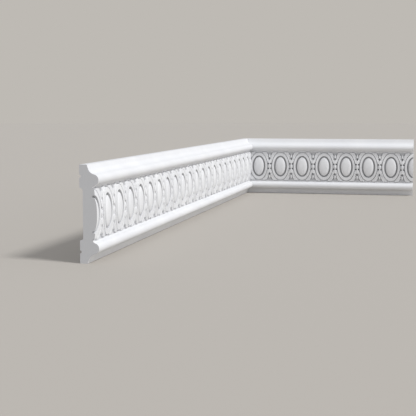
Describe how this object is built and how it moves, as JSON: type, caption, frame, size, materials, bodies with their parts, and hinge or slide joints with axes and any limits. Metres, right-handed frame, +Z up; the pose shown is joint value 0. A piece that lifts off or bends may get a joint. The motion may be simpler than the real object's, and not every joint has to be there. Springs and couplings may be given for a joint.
{
  "type": "wall moulding",
  "caption": "Tall flexible wall moulding with a frieze of ovals and leaves between ogee edges: mitred lengths that turn an inside corner, with square-cut free ends.",
  "frame": {"origin": "level with the undersides, at the middle of the pair's plan box: half of the short length to the right of the long length's back, and half of the long length in front of the short length's back", "axes": "+Z up; the long length runs along Y with its carved face to +X and its square end at -Y; the short length runs along X with its carved face to -Y and its square end at +X"},
  "size_m": [0.31, 0.8924, 0.1],
  "materials": {
    "primed_cast": "white factory primer on a cast polyurethane moulding, matt with a slight sheen"
  },
  "bodies": {
    "root": {"left_run": "primed_cast", "right_run": "primed_cast"}
  },
  "joints": []
}
